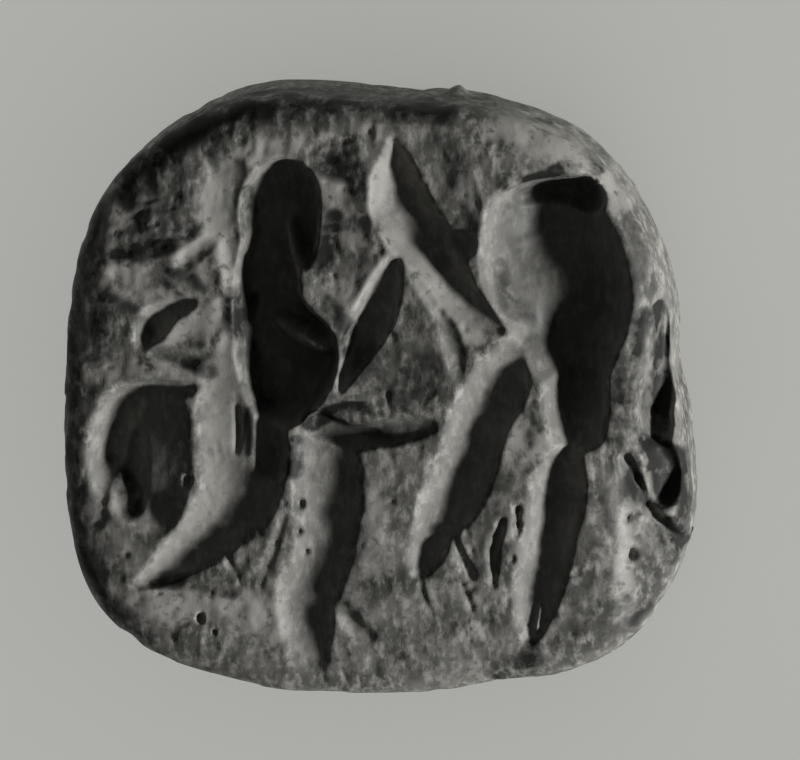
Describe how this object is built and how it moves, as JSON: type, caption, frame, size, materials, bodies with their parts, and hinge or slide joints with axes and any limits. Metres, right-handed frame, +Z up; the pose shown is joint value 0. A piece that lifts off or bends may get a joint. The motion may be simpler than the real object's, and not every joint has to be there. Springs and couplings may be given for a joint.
{
  "type": "stone stamp seal",
  "caption": "Cushion-shaped stone stamp seal with a string hole bored across it and a long-legged animal cut into its face",
  "frame": {"origin": "bottom centre of the bounding box, in the middle of the small flat spot on the back that the seal lies on", "axes": "+Z up, out of the carved face; +X across the face from the animal's head to its tail, the longest extent; +Y from the animal's feet to its back"},
  "size_m": [0.0178, 0.0172, 0.008],
  "materials": {
    "worn_stone": "dark grey stone, worn and lightly polished on the high parts, mottled and finely streaked, dull in the cuts"
  },
  "bodies": {
    "root": {"seal_stone": "worn_stone"}
  },
  "joints": []
}
